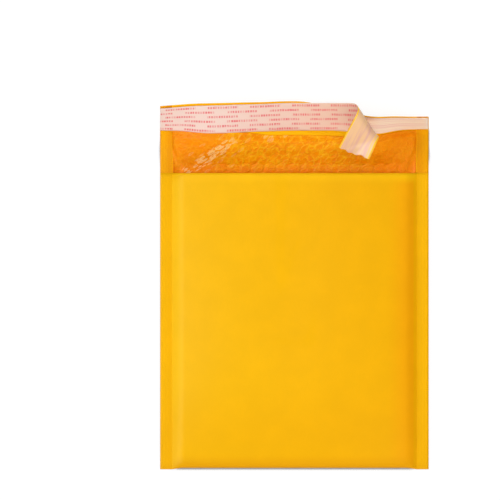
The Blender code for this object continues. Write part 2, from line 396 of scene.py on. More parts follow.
@dataclass
class Nodes:
    """A material's or a node group's node tree, with short ways to add to it."""

    tree: bpy.types.NodeTree

    def add(self, kind: str, **inputs: object) -> bpy.types.Node:
        """A node with some of its inputs set or linked.

        Args:
            kind: The node's type name, without its leading words.
            **inputs: Input names, with _ for a space, and the value or socket for each.

        Returns:
            The node.
        """
        node = self.tree.nodes.new("ShaderNode" + kind)
        for name, value in inputs.items():
            self.put(node.inputs[name.replace("_", " ")], value)
        return node

    def put(self, socket: Socket, value: object) -> None:
        """Links a socket to an input, or sets the input's own value."""
        if isinstance(value, Socket):
            self.tree.links.new(value, socket)
        elif isinstance(value, tuple) and len(value) == 3 and socket.type == "RGBA":
            socket.default_value = (*value, 1.0)
        else:
            socket.default_value = value

    def math(self, operation: str, a: object, b: object = 0.0, clamp: bool = False) -> Socket:
        """The result of a maths operation on two numbers or sockets."""
        node = self.tree.nodes.new("ShaderNodeMath")
        node.operation = operation
        node.use_clamp = clamp
        self.put(node.inputs[0], a)
        self.put(node.inputs[1], b)
        return node.outputs[0]

    def plus(self, a: object, b: object, clamp: bool = False) -> Socket:
        """a and b added."""
        return self.math("ADD", a, b, clamp)

    def minus(self, a: object, b: object, clamp: bool = False) -> Socket:
        """b taken from a."""
        return self.math("SUBTRACT", a, b, clamp)

    def times(self, a: object, b: object, clamp: bool = False) -> Socket:
        """a and b multiplied."""
        return self.math("MULTIPLY", a, b, clamp)

    def axes(self, vector: object) -> tuple[Socket, Socket]:
        """The x and y of a vector."""
        node = self.add("SeparateXYZ", Vector=vector)
        return node.outputs[0], node.outputs[1]

    def ramp(self, value: object, low: float, high: float) -> Socket:
        """0 at low, 1 at high, smooth between them and held outside."""
        node = self.tree.nodes.new("ShaderNodeMapRange")
        node.interpolation_type = "SMOOTHSTEP"
        self.put(node.inputs["Value"], value)
        self.put(node.inputs["From Min"], low)
        self.put(node.inputs["From Max"], high)
        return node.outputs["Result"]

    def ramp_at(self, value: object, start: float, span: Span) -> Socket:
        """A ramp over a span that is measured from a start."""
        return self.ramp(value, start + span[0], start + span[1])

    def mix(self, mask: object, a: object, b: object) -> Socket:
        """Colour a where the mask is 0 and colour b where it is 1."""
        node = self.tree.nodes.new("ShaderNodeMix")
        node.data_type = "RGBA"
        self.put(node.inputs[0], mask)
        self.put(node.inputs[6], a)
        self.put(node.inputs[7], b)
        return node.outputs[2]

    def noise(self, vector: object, scale: float, detail: float = 3.0, distortion: float = 0.0) -> Socket:
        """The value of a noise pattern on a vector."""
        node = self.add("TexNoise", Vector=vector, Scale=scale, Detail=detail, Distortion=distortion)
        return node.outputs[0]

    def scaled(self, vector: object, scale: Sequence[float], turn: float = 0.0) -> Socket:
        """A vector scaled along its axes, then turned about Z by some degrees."""
        node = self.add("Mapping", Vector=vector, Scale=scale, Rotation=(0.0, 0.0, math.radians(turn)))
        return node.outputs[0]

    def turned(self, vector: object, size: Span, turn: float) -> Socket:
        """A vector measured in pieces of a length and a width, the length turned by some degrees about Z."""
        node = self.add("Mapping", Vector=vector, Scale=(*size, 1.0), Rotation=(0.0, 0.0, math.radians(turn)))
        node.vector_type = "TEXTURE"
        return node.outputs[0]


def fibre_group() -> bpy.types.NodeTree:
    """The grain of the kraft paper as a node group: soft clouds, fine fibres and their height."""
    group = bpy.data.node_groups.new("paper_grain", "ShaderNodeTree")
    for name, kind in (("Vector", "Vector"), ("Cloud Scale", "Float"), ("Fibre Scale", "Float")):
        group.interface.new_socket(name, in_out="INPUT", socket_type="NodeSocket" + kind)
    for name in ("Cloud", "Fibre", "Height"):
        group.interface.new_socket(name, in_out="OUTPUT", socket_type="NodeSocketFloat")
    nodes = Nodes(group)
    inside = group.nodes.new("NodeGroupInput")
    outside = group.nodes.new("NodeGroupOutput")
    cloud = nodes.add("TexNoise", Vector=inside.outputs[0], Scale=inside.outputs[1], Detail=4.0)
    stretched = nodes.scaled(inside.outputs[0], (1.0, 0.35, 1.0), 12.0)
    fibre = nodes.add("TexNoise", Vector=stretched, Scale=inside.outputs[2], Detail=5.0, Distortion=0.6)
    nodes.put(outside.inputs["Cloud"], cloud.outputs[0])
    nodes.put(outside.inputs["Fibre"], fibre.outputs[0])
    height = nodes.plus(nodes.times(fibre.outputs[0], 0.6), cloud.outputs[0])
    nodes.put(outside.inputs["Height"], height)
    return group


@dataclass(frozen=True)
class Finish:
    """What every finish has: a name, a shader with plain values and a bump."""

    name: str
    roughness: float = 0.6
    specular: float = 0.3
    bump: float = 0.00008

    def start(self) -> tuple[bpy.types.Material, Nodes, bpy.types.Node]:
        """An empty material with its plain values set, its nodes and its shader."""
        material = bpy.data.materials.new(self.name)
        material.use_nodes = True
        shader = material.node_tree.nodes["Principled BSDF"]
        shader.inputs["Roughness"].default_value = self.roughness
        shader.inputs["Specular IOR Level"].default_value = self.specular
        return material, Nodes(material.node_tree), shader

    def end(self, nodes: Nodes, shader: bpy.types.Node, colour: object, height: object) -> None:
        """Feeds a colour to the shader, and a height to its normal at this finish's depth."""
        nodes.put(shader.inputs["Base Color"], colour)
        bump = nodes.add("Bump", Height=height, Distance=self.bump, Strength=1.0)
        nodes.put(shader.inputs["Normal"], bump.outputs[0])


@dataclass(frozen=True)
class KraftFinish(Finish):
    """Golden-yellow kraft paper with ribbed seams, deeper where it turns away from the light, with painted
    light and shade in its colour.

    Each span is where a blend starts and ends.
    """

    name: str = "kraft_paper"
    roughness: float = 0.48
    specular: float = 0.08
    bump: float = 0.00008
    # Painted light across the front: lighter on the left, deeper on the right.
    left: Color = rgb(241, 182, 0)
    right: Color = rgb(240, 173, 0)
    seam: Color = rgb(240, 177, 0)
    # Painted highlight on the lit left shoulder.
    left_shoulder_highlight: Color = rgb(250, 194, 22)
    # Painted shade in the valley of the right shoulder.
    right_shoulder_shade: Color = rgb(243, 164, 0)
    # Painted light: a paler band along the front's mouth edge.
    lip: Color = rgb(245, 185, 6)
    # Painted light and shade on the flap's inside: brighter in the middle, shaded on its seams and deepest
    # next to the film.
    flap: Color = rgb(255, 190, 10)
    flap_side_shade: Color = rgb(240, 163, 0)
    flap_seam_shade: Color = rgb(231, 148, 0)
    # Painted shade: deeper towards the bottom fold.
    fold: Color = rgb(220, 150, 0)
    mottle: float = 0.05
    mottle_span: Span = (1.0, 0.45)
    cloud_scale: float = 55.0
    fibre_scale: float = 900.0
    fibre_share: float = 0.35
    seam_edge: float = 0.0839
    seam_span: Span = (0.0, 0.0003)
    rib_pitch: float = 0.0021
    rib_height: float = 0.35
    shoulder_width: float = 0.0085
    lit_from: float = 1.2
    shaded_from: float = 2.6
    full_from: float = 0.4
    shade_end: Span = (-0.0029, -0.0013)
    lip_span: Span = (0.008, 0.002)
    lower_span: Span = (-0.060, -0.015)
    lower_share: float = 0.2
    fold_span: Span = (-0.006, 0.005)
    fold_share: float = 0.7
    under_span: Span = (0.024, 0.012)
    side_span: Span = (0.0, 0.006)
    flap_span: Span = (-0.001, 0.001)

    def on_shoulder(self, share: float) -> float:
        """The place on the right shoulder at a share of its width in from the seam."""
        return self.seam_edge - self.shoulder_width * share

    def material(self, front_end: float, flap_start: float) -> bpy.types.Material:
        """The finished material.

        Args:
            front_end: Distance along the flat sheet to the bottom fold.
            flap_start: Distance along the flat sheet to the flap.

        Returns:
            The material.
        """
        material, nodes, shader = self.start()
        place = nodes.add("TexCoord").outputs["Object"]
        grain = nodes.tree.nodes.new("ShaderNodeGroup")
        grain.node_tree = fibre_group()
        nodes.put(grain.inputs["Vector"], place)
        nodes.put(grain.inputs["Cloud Scale"], self.cloud_scale)
        nodes.put(grain.inputs["Fibre Scale"], self.fibre_scale)
        x, _ = nodes.axes(place)
        _, along = nodes.axes(nodes.add("UVMap").outputs[0])
        # Painted light: lighter towards the left, deeper towards the right.
        lean = nodes.plus(nodes.math("DIVIDE", x, 2 * self.seam_edge), 0.5, clamp=True)
        paper = nodes.mix(lean, self.left, self.right)
        # Painted highlight on the left shoulder.
        lit = nodes.ramp(x, -self.on_shoulder(self.lit_from), -self.on_shoulder(self.full_from))
        paper = nodes.mix(lit, paper, self.left_shoulder_highlight)
        # Painted shade on the right shoulder, ending short of the seam.
        shaded = nodes.ramp(x, self.on_shoulder(self.shaded_from), self.on_shoulder(self.full_from))
        past = nodes.ramp_at(x, self.seam_edge, self.shade_end)
        paper = nodes.mix(nodes.minus(shaded, past, clamp=True), paper, self.right_shoulder_shade)
        # Painted light along the front's mouth edge.
        paper = nodes.mix(nodes.ramp(along, *self.lip_span), paper, self.lip)
        x = nodes.math("ABSOLUTE", x)
        seam = nodes.ramp_at(x, self.seam_edge, self.seam_span)
        paper = nodes.mix(seam, paper, self.seam)
        tone = nodes.plus(grain.outputs["Cloud"], nodes.times(grain.outputs["Fibre"], self.fibre_share))
        dark = nodes.times(nodes.ramp(tone, *self.mottle_span), self.mottle)
        paper = nodes.mix(dark, paper, (0.0, 0.0, 0.0))
        # Painted shade towards the bottom fold, kept to the front.
        lower = nodes.times(nodes.ramp_at(along, front_end, self.lower_span), self.lower_share)
        fold = nodes.times(nodes.ramp_at(along, front_end, self.fold_span), self.fold_share)
        on_front = nodes.ramp_at(along, front_end, self.under_span)
        fold = nodes.times(nodes.plus(lower, fold), on_front)
        paper = nodes.mix(fold, paper, self.fold)
        # Painted light and shade on the flap's inside: brighter in the middle, shaded on the seams and
        # deepest next to the film.
        side = nodes.mix(nodes.ramp_at(x, self.seam_edge, self.side_span), self.flap_seam_shade, self.flap_side_shade)
        inner = nodes.mix(seam, self.flap, side)
        paper = nodes.mix(nodes.ramp_at(along, flap_start, self.flap_span), paper, inner)
        ribs = nodes.math("SINE", nodes.times(x, 2 * math.pi / self.rib_pitch))
        ribbing = nodes.times(nodes.times(ribs, seam), self.rib_height)
        self.end(nodes, shader, paper, nodes.plus(grain.outputs["Height"], ribbing))
        return material


@dataclass(frozen=True)
class FilmFinish(Finish):
    """Glossy bubble film on yellow paper, crinkled, with bright veins, painted shade along its mouth edge and
    sides, and two runs of painted glints.

    Each run is its start, its end and its width, on the flat sheet.
    """

    name: str = "bubble_film"
    roughness: float = 0.36
    specular: float = 0.10
    bump: float = 0.0003
    base: Color = rgb(250, 165, 0)
    deep: Color = rgb(244, 136, 0)
    # Painted shade along the film's mouth edge and both sides.
    edge: Color = rgb(240, 130, 0)
    vein: Color = rgb(255, 200, 30)
    # The colour of the painted glints.
    crease: Color = rgb(255, 216, 142)
    runs: tuple[Run, ...] = (
        ((-0.0770, -0.0020), (-0.0430, 0.0255), 0.0055),
        ((-0.0200, 0.0258), (0.0010, 0.0268), 0.0030),
    )
    lean: float = 38.0
    cloud_scale: float = 110.0
    crinkle_size: Span = (0.0030, 0.0014)
    cell_size: Span = (0.0056, 0.0030)
    stroke: Span = (0.0060, 0.0019)
    second_offset: tuple[float, float, float] = (0.0419, 0.0313, 0.0)
    stroke_rim: Span = (0.52, 0.38)
    stroke_hollow: Span = (0.36, 0.14)
    hollow_share: float = 0.85
    run_start: Span = (-0.004, 0.003)
    run_end: Span = (0.004, -0.003)
    second_share: float = 0.5
    run_share: float = 0.50
    around_share: float = 0.13
    least_bright: float = 0.20
    run_bright: float = 0.45
    vein_share: float = 0.55
    edge_share: float = 0.7
    edge_depth: float = 0.0070
    left_span: Span = (-0.038, -0.062)
    right_span: Span = (0.030, 0.064)

    def material(self) -> bpy.types.Material:
        """The finished material."""
        material, nodes, shader = self.start()
        place = nodes.add("UVMap").outputs[0]
        clouds = nodes.noise(place, self.cloud_scale, 5.0, 1.0)
        crinkle = nodes.noise(nodes.turned(place, self.crinkle_size, self.lean), 1.0, 5.0, 1.4)
        line = self.cell_edges(nodes, nodes.turned(place, self.cell_size, self.lean), crinkle)
        tone = nodes.mix(nodes.ramp(clouds, 0.30, 0.72), self.deep, self.base)
        tone = nodes.mix(nodes.times(nodes.ramp(crinkle, 0.52, 0.30), 0.5), tone, self.deep)
        vein = nodes.times(nodes.times(line, nodes.ramp(crinkle, 0.36, 0.62)), self.vein_share)
        tone = nodes.mix(vein, tone, self.vein)
        x, s = nodes.axes(place)
        # Painted shade: deeper along the mouth edge and towards both sides.
        lip = nodes.minus(1.0, nodes.ramp(s, 0.0, self.edge_depth))
        left = nodes.times(nodes.ramp(x, *self.left_span), 0.9)
        aside = nodes.math("MAXIMUM", left, nodes.ramp(x, *self.right_span))
        tone = nodes.mix(nodes.times(nodes.math("MAXIMUM", lip, aside), self.edge_share), tone, self.edge)
        # Painted glints: pale strokes that stand in for the lamps' reflection off the crinkled film.
        tone = nodes.mix(self.painted_glints(nodes, place), tone, self.crease)
        self.end(nodes, shader, tone, nodes.plus(crinkle, nodes.times(line, 0.4)))
        return material

    @staticmethod
    def cell_edges(nodes: Nodes, place: object, wander: object) -> Socket:
        """1 on thin lines round irregular cells and 0 off them, thinner where the wander is low."""
        cells = nodes.add("TexVoronoi", Vector=place, Scale=1.0)
        cells.feature = "DISTANCE_TO_EDGE"
        width = nodes.times(wander, 0.34)
        return nodes.minus(1.0, nodes.ramp(cells.outputs["Distance"], 0.0, width))

    def along_run(self, nodes: Nodes, place: Socket, run: Run) -> tuple[Socket, Socket]:
        """How near a place is to a run of painted glints.

        Args:
            nodes: The material's nodes.
            place: Where on the flat sheet.
            run: The run's start, end and width.

        Returns:
            1 on the run fading to 0 beside it, and the same over four times the width, without ends.
        """
        (x0, y0), (x1, y1), width = run
        length = math.hypot(x1 - x0, y1 - y0)
        along_x, along_y = (x1 - x0) / length, (y1 - y0) / length
        x, y = nodes.axes(place)
        dx = nodes.minus(x, x0)
        dy = nodes.minus(y, y0)
        along = nodes.plus(nodes.times(dx, along_x), nodes.times(dy, along_y))
        off = nodes.minus(nodes.times(dy, along_x), nodes.times(dx, along_y))
        off = nodes.math("ABSOLUTE", off)
        near = nodes.ramp(off, width, width * 0.4)
        near = nodes.times(near, nodes.ramp(along, *self.run_start))
        near = nodes.times(near, nodes.ramp_at(along, length, self.run_end))
        return near, nodes.ramp(off, width * 4, width)

    def strokes(self, nodes: Nodes, place: Socket, share: object) -> Socket:
        """Short leaf-shaped strokes of painted glint, drawn brightest along their rims.

        Args:
            nodes: The material's nodes.
            place: Where on the flat sheet.
            share: The share of the strokes that shows, from 0 to 1.

        Returns:
            The mask of the strokes.
        """
        cells = nodes.add("TexVoronoi", Vector=nodes.turned(place, self.stroke, self.lean), Scale=1.0)
        centre = cells.outputs["Distance"]
        hollow = nodes.times(nodes.ramp(centre, *self.stroke_hollow), self.hollow_share)
        rim = nodes.minus(nodes.ramp(centre, *self.stroke_rim), hollow)
        drawn = nodes.add("SeparateColor", Color=cells.outputs["Color"]).outputs[0]
        return nodes.times(rim, nodes.math("LESS_THAN", drawn, share))

    def painted_glints(self, nodes: Nodes, place: Socket) -> Socket:
        """Painted glints drawn as pale strokes, dense along each run and few round the first.

        Args:
            nodes: The material's nodes.
            place: Where on the flat sheet.

        Returns:
            The mask of the strokes.
        """
        (first, around), (second, _) = (self.along_run(nodes, place, run) for run in self.runs)
        near = nodes.math("MAXIMUM", first, nodes.times(second, self.second_share))
        share = nodes.plus(nodes.times(near, self.run_share), nodes.times(around, self.around_share))
        aside = nodes.add("VectorMath", Vector=place).outputs[0]
        aside.node.inputs[1].default_value = self.second_offset
        mask = nodes.math("MAXIMUM", self.strokes(nodes, place, share), self.strokes(nodes, aside, share))
        bright = nodes.plus(self.least_bright, nodes.times(near, self.run_bright))
        return nodes.times(mask, bright, clamp=True)


@dataclass(frozen=True)
class AdhesiveFinish(Finish):
    """Pale hot-melt adhesive, drawn out in fine ridges along the flap."""

    name: str = "adhesive"
    roughness: float = 0.35
    specular: float = 0.4
    bump: float = 0.00012
    base: Color = rgb(249, 232, 207)
    ridge: Color = rgb(238, 205, 189)
    stretch: tuple[float, float, float] = (9.0, 620.0, 1.0)

    def material(self) -> bpy.types.Material:
        """The finished material."""
        material, nodes, shader = self.start()
        place = nodes.add("UVMap").outputs[0]
        lines = nodes.noise(nodes.scaled(place, self.stretch), 1.0, 3.0, 0.4)
        self.end(nodes, shader, nodes.mix(nodes.ramp(lines, 0.40, 0.62), self.base, self.ridge), lines)
        return material


@dataclass(frozen=True)
class LinerFaceFinish(Finish):
    """The liner's face: pale pink paper with rows of small red dashes."""

    name: str = "liner_face"
    roughness: float = 0.45
    specular: float = 0.3
    bump: float = 0.00004
    base: Color = rgb(235, 207, 196)
    warm: Color = rgb(230, 190, 167)
    ink: Color = rgb(224, 104, 108)
    row_pitch: float = 0.0042
    row_shift: float = 0.0037
    dash_height: float = 0.0020
    block_pitch: float = 0.0289
    block_share: float = 0.72
    odd_shift: float = 0.46
    dash_pitch: float = 0.0017
    least_dash: float = 0.42
    more_dash: float = 0.6
    least_ink: float = 0.35
    more_ink: float = 0.55
    warm_span: Span = (-0.06, 0.055)

    def material(self) -> bpy.types.Material:
        """The finished material."""
        material, nodes, shader = self.start()
        place = nodes.add("UVMap").outputs[0]
        u, v = nodes.axes(place)
        row = nodes.math("DIVIDE", v, self.row_pitch)
        number = nodes.math("FLOOR", row)
        in_row = nodes.math("ABSOLUTE", nodes.minus(nodes.math("FRACT", row), 0.5))
        high = nodes.math("LESS_THAN", in_row, self.dash_height / self.row_pitch / 2)
        odd = nodes.times(nodes.math("MODULO", number, 2.0), self.block_pitch * self.odd_shift)
        run = nodes.plus(nodes.plus(u, 1.0), odd)
        in_block = nodes.math("FRACT", nodes.math("DIVIDE", run, self.block_pitch))
        block = nodes.math("LESS_THAN", in_block, self.block_share)
        step = nodes.math("DIVIDE", nodes.plus(run, nodes.times(number, self.row_shift)), self.dash_pitch)
        spot = nodes.add("CombineXYZ", X=nodes.math("FLOOR", step), Y=number).outputs[0]
        length = nodes.plus(self.least_dash, nodes.times(nodes.noise(spot, 3.7, 0.0), self.more_dash))
        dash = nodes.math("LESS_THAN", nodes.math("FRACT", step), length)
        mask = nodes.times(nodes.times(high, block), dash)
        worn = nodes.ramp(nodes.noise(place, 210.0, 3.0), 0.30, 0.62)
        mask = nodes.times(mask, nodes.plus(self.least_ink, nodes.times(worn, self.more_ink)))
        drift = nodes.plus(u, nodes.times(nodes.noise(place, 60.0), 0.03))
        paper = nodes.mix(nodes.ramp(drift, *self.warm_span), self.base, self.warm)
        self.end(nodes, shader, nodes.mix(mask, paper, self.ink), nodes.noise(place, 500.0, 3.0))
        return material


@dataclass(frozen=True)
class LinerBackFinish(Finish):
    """The liner's release side: peach paper with lengthwise streaks and yellow margins."""

    name: str = "liner_back"
    roughness: float = 0.38
    specular: float = 0.35
    bump: float = 0.00006
    base: Color = rgb(233, 187, 139)
    streak: Color = rgb(220, 166, 146)
    margin: Color = rgb(253, 196, 40)
    width: float = 0.0252
    margin_width: float = 0.0013
    curled_line: float = 0.0027
    curled_width: float = 0.0004
    curled_share: float = 0.65
    stretch: tuple[float, float, float] = (26.0, 330.0, 1.0)

    def material(self) -> bpy.types.Material:
        """The finished material."""
        material, nodes, shader = self.start()
        place = nodes.add("UVMap").outputs[0]
        _, v = nodes.axes(place)
        lines = nodes.noise(nodes.scaled(place, self.stretch), 1.0, 3.0, 0.5)
        paper = nodes.mix(nodes.ramp(lines, 0.42, 0.66), self.base, self.streak)
        off_middle = nodes.math("ABSOLUTE", nodes.minus(v, self.width / 2))
        from_edge = nodes.minus(self.width / 2, off_middle)
        past_margin = nodes.ramp(from_edge, self.margin_width * 0.8, self.margin_width * 1.2)
        edge = nodes.minus(1.0, past_margin)
        off_line = nodes.math("ABSOLUTE", nodes.minus(v, self.curled_line))
        line = nodes.minus(1.0, nodes.ramp(off_line, self.curled_width * 0.5, self.curled_width))
        lines_on = nodes.math("MAXIMUM", edge, nodes.times(line, self.curled_share))
        self.end(nodes, shader, nodes.mix(lines_on, paper, self.margin), lines)
        return material


@dataclass
class PaperShell:
    """The outer paper: front, bottom fold, back and flap in one sheet, sealed along both sides."""

    shape: EnvelopeShape
    finish: KraftFinish = field(default_factory=KraftFinish)
    middle_columns: int = 46
    shoulder_columns: int = 14
    seam_columns: int = 5
    front_rows: int = 96
    fold_rows: int = 12
    back_rows: int = 40
    flap_rows: int = 60
    dent: float = 0.00024
    pucker: float = 0.00022
    pucker_width: float = 0.10
    pucker_waves: float = 41
    calm_ends: float = 0.06

    def columns(self) -> np.ndarray:
        """Places across the sheet, closer together over the shoulders."""
        edge = self.shape.inner_half
        half = spread(0, edge - self.shape.shoulder_width, self.middle_columns)
        half += spread(edge - self.shape.shoulder_width, edge, self.shoulder_columns)
        half += spread(edge, self.shape.width / 2, self.seam_columns) + [self.shape.width / 2]
        return np.array([-x for x in reversed(half[1:])] + half)

    def stations(self) -> list[Station]:
        """Places along the sheet."""
        rows = [(Part.FRONT, f) for f in spread(0, 1, self.front_rows)]
        rows += [(Part.FOLD, f) for f in spread(0, 1, self.fold_rows)]
        rows += [(Part.BACK, f) for f in spread(0, 1, self.back_rows)]
        rows += [(Part.FLAP, s) for s in spread(0, self.shape.flap_length, self.flap_rows)]
        return rows + [(Part.FLAP, self.shape.flap_length)]

    def relief(self, x: np.ndarray, station: Station) -> np.ndarray:
        """How far the paper stands out from the plain shape: soft dents and puckers along the seams.

        Args:
            x: Places across the width.
            station: The place along the sheet.

        Returns:
            Heights away from the inside, in metres.
        """
        part, place = station
        if part not in (Part.FRONT, Part.FOLD):
            return np.zeros_like(x)
        fade = 1.0 if part is Part.FRONT else 1 - ease(place * 1.6)
        y = 1 - place if part is Part.FRONT else 0.0
        across = x / self.shape.inner_half
        inside = self.shape.shoulder(x)
        # Two slow waves whose crests don't line up, then a quicker ripple along each seam.
        soft = np.sin(5.1 * across + 2.3 * y + 0.6) * math.sin(6.2 * y + 1.1)
        soft = soft + 0.6 * np.sin(8.7 * across - 5.5 * y + 2.0)
        near = np.exp(-((1 - np.abs(across)) / self.pucker_width) ** 2) * inside
        ripple = np.sin(self.pucker_waves * y + 3.0 * np.sin(9 * y) + np.sign(x) * 1.3)
        ends = float(ease(y / self.calm_ends))
        dents = inside * self.dent * (soft * ends + 1.6) / 2
        puckers = near * self.pucker * (ripple + 1) * ends
        return fade * (dents + puckers)

    def build(self) -> bpy.types.Object:
        """The finished piece, in place of its solid."""
        x = self.columns()
        stations = self.stations()
        rows = [self.shape.on_sheet(x, at, -self.relief(x, at)) for at in stations]
        flat = [np.stack([x, np.full_like(x, self.shape.flat_length(at))], axis=1) for at in stations]
        piece = MeshTools.sheet("kraft_sheet", np.array(rows), np.array(flat))
        seam_lines = np.flatnonzero(np.isclose(np.abs(x), self.shape.inner_half))
        MeshTools.crease(piece, len(x), {int(column) for column in seam_lines})
        MeshTools.thicken(piece, self.shape.paper)
        starts = [self.shape.flat_length(at) for at in ((Part.FOLD, 0.0), (Part.FLAP, 0.0))]
        piece.data.materials.append(self.finish.material(*starts))
        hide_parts("paper_shell")
        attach(piece, "root")
        return piece


@dataclass
class SeamWelds:
    """The sealed strips between the front and back paper along both sides."""

    shape: EnvelopeShape
    finish: bpy.types.Material
    inset: float = 0.00025

    def build(self) -> bpy.types.Object:
        """Both strips as one piece."""
        shape = self.shape
        bm = bmesh.new()
        length = shape.pouch_length - shape.seam_half - self.inset
        width = shape.seam_width - 2 * self.inset
        for side in (-1, 1):
            made = bmesh.ops.create_cube(bm, size=1)["verts"]
            bmesh.ops.scale(bm, vec=(width, length, shape.seam_weld + shape.paper), verts=made)
            x = side * (shape.inner_half + shape.seam_width / 2)
            centre = Vector((x, shape.mouth_y - self.inset - length / 2, shape.full_rise))
            bmesh.ops.translate(bm, vec=centre, verts=made)
        piece = MeshTools.finished("seam_welds", bm)
        piece.data.materials.append(self.finish)
        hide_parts("paper_shell")
        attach(piece, "root")
        return piece


@dataclass
class BubbleLining:
    """The bubble film: one web folded with the paper, from the front's mouth edge to the closure band."""

    shape: EnvelopeShape
    finish: FilmFinish = field(default_factory=FilmFinish)
    pitch: float = 0.0084
    diameter: float = 0.0080
    inset: float = 0.0002
    inside_reach: float = 0.020
    columns: int = 290
    panel_rows: int = 10
    fold_rows: int = 8
    inner_rows: int = 34
    flap_rows: int = 64
    crumple: float = 0.35
    crushed: float = 0.88
    crinkle_across: float = 1500
    crinkle_along: float = 1100
    crinkle_depth: float = 0.07
    plain_border: float = 0.012
    side_taper: float = 0.0022
    end_taper: float = 0.0052
    show_blend: float = 0.006
    fold_share: float = 0.85
    thinnest: float = 0.0002
    setbacks: tuple[Span, ...] = (
        (-0.085, 0.0003),
        (-0.041, 0.0004),
        (-0.017, 0.0044),
        (0.034, 0.0050),
        (0.055, 0.0018),
        (0.085, 0.0016),
    )

    def stations(self) -> list[Station]:
        """Places along the sheet up to the mouth, close together where the bubbles show."""
        back = float(self.shape.mouth_y - self.shape.fold_start(np.zeros(1))[0])
        inside = 1 - self.inside_reach / back
        rows = [(Part.FRONT, f) for f in spread(0, 1, self.panel_rows)]
        rows += [(Part.FOLD, f) for f in spread(0, 1, self.fold_rows)]
        rows += [(Part.BACK, f) for f in spread(0, inside, self.panel_rows)]
        return rows + [(Part.BACK, f) for f in spread(inside, 1, self.inner_rows)]

    def end(self, x: np.ndarray) -> np.ndarray:
        """How far along the flap the film reaches at each x."""
        places, setbacks = np.array(self.setbacks).T
        return self.shape.band_start - np.interp(x, places, setbacks)

    def from_mouth(self, station: Station) -> float:
        """Distance from the mouth along the sheet, below 0 inside the pouch."""
        return self.shape.flat_length(station) - self.shape.flat_length((Part.FLAP, 0.0))

    def domes(self, x: np.ndarray, s: np.ndarray) -> np.ndarray:
        """Height of the bubbles from 0 to 1, on staggered rows, each a little crushed.

        Args:
            x: Places across the width.
            s: Distances from the mouth along the sheet.

        Returns:
            The height at each x.
        """
        row_pitch = self.pitch * math.sqrt(3) / 2
        best = np.zeros_like(x)
        for step in (-1, 0, 1):
            row = np.floor(s / row_pitch) + step
            shift = 0.5 * self.pitch * (row % 2)
            centre = np.round((x - shift) / self.pitch) * self.pitch + shift
            # A number from 0 to 1 that only the dome's own place decides.
            seed = np.sin(centre * 1931.7 + row * 12.9898) * 43758.5453
            lean = seed - np.floor(seed)
            gap = np.hypot(x - centre, s - (row + 0.5) * row_pitch) / (self.diameter / 2)
            dome = np.sqrt(np.clip(1 - gap**2, 0, 1)) * (1 - self.crumple * lean)
            wave = (x - centre) * self.crinkle_across * (lean - 0.5) + (s * self.crinkle_along + 6 * lean)
            best = np.maximum(best, dome * (1 + np.sin(wave) * self.crinkle_depth))
        return np.clip(best, 0, 1)

    def bubbled(self, x: np.ndarray, s: np.ndarray) -> np.ndarray:
        """Thickness of the film where its bubbles show, at each x and distance s from the mouth."""
        foot = self.shape.bubble_film * self.crushed
        inside = ease((self.shape.inner_half - np.abs(x)) / self.plain_border)
        return foot + (self.shape.bubble_film - foot) * self.domes(x, s) * inside

    def in_pouch(self, x: np.ndarray, station: Station) -> np.ndarray:
        """Thickness of the film inside the pouch at each x: bubbles near the mouth, full height elsewhere.

        Args:
            x: Places across the width.
            station: The place along the sheet.

        Returns:
            The thickness in metres.
        """
        shape = self.shape
        inner, outer = (shape.wall_rise(np.abs(x) + step) for step in (-NUDGE, NUDGE))
        slope = (inner - outer) / (2 * NUDGE)
        room = (shape.wall_rise(x) - shape.facing_gap) * np.cos(np.arctan(slope)) - shape.lining_depth
        full = shape.bubble_film * (self.fold_share if station[0] is Part.FOLD else 1.0)
        if station[0] is Part.BACK:
            s = np.full_like(x, self.from_mouth(station))
            full = full + (self.bubbled(x, s) - full) * ease((s + self.inside_reach) / self.show_blend)
        return np.clip(np.minimum(room, full), self.thinnest, None)

    def on_flap(self, x: np.ndarray, s: np.ndarray) -> np.ndarray:
        """Thickness of the film on the flap at each x, thin along its side edges and its end.

        Args:
            x: Places across the width.
            s: Distances from the mouth along the sheet.

        Returns:
            The thickness in metres.
        """
        near_mouth = 1 - ease(s / self.shape.tray_fade)
        taper = self.side_taper + (self.shape.shoulder_width - self.side_taper) * near_mouth
        sides = ease((self.shape.inner_half - self.inset - np.abs(x)) / taper)
        end = ease((self.end(x) - s) / self.end_taper)
        return np.clip(self.bubbled(x, s) * sides * end, self.shape.flat_film * 0.3, None)

    def flap_points(self, x: np.ndarray, share: float, table: np.ndarray, spots: np.ndarray) -> np.ndarray:
        """Points on the flap at a share of the film's reach, read from a table of whole rows.

        Args:
            x: Places across the width.
            share: 0 at the mouth and 1 at the film's end.
            table: The rows of points on the flap.
            spots: Each row's distance from the mouth.

        Returns:
            One row of points.
        """
        row = share * self.end(x) / (spots[1] - spots[0])
        low = np.clip(np.floor(row).astype(int), 0, len(spots) - 2)
        part = (row - low)[:, None]
        column = np.arange(len(x))
        return table[low, column] * (1 - part) + table[low + 1, column] * part

    def build(self) -> bpy.types.Object:
        """The finished piece, in place of its solid."""
        shape = self.shape
        half = shape.inner_half - self.inset
        x = np.linspace(-half, half, self.columns)
        stations = self.stations()
        rows = [shape.on_sheet(x, at, shape.lining_depth) for at in stations]
        flat = [np.stack([x, np.full_like(x, self.from_mouth(at))], axis=1) for at in stations]
        thickness = [self.in_pouch(x, at) for at in stations]
        spots = np.linspace(0, float(self.end(x).max()), self.flap_rows + 1)
        table = np.array([shape.on_sheet(x, (Part.FLAP, float(s)), shape.lining_depth) for s in spots])
        for share in np.linspace(0, 1, self.flap_rows):
            s = share * self.end(x)
            rows.append(self.flap_points(x, float(share), table, spots))
            flat.append(np.stack([x, s], axis=1))
            thickness.append(self.on_flap(x, s))
        piece = MeshTools.sheet("bubble_web", np.array(rows), np.array(flat))
        MeshTools.weight(piece, "padding", np.clip(np.array(thickness) / shape.bubble_film, 0, 1))
        MeshTools.thicken(piece, shape.bubble_film, "padding")
        piece.data.materials.append(self.finish.material())
        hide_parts("bubble_lining")
        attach(piece, "root")
        return piece


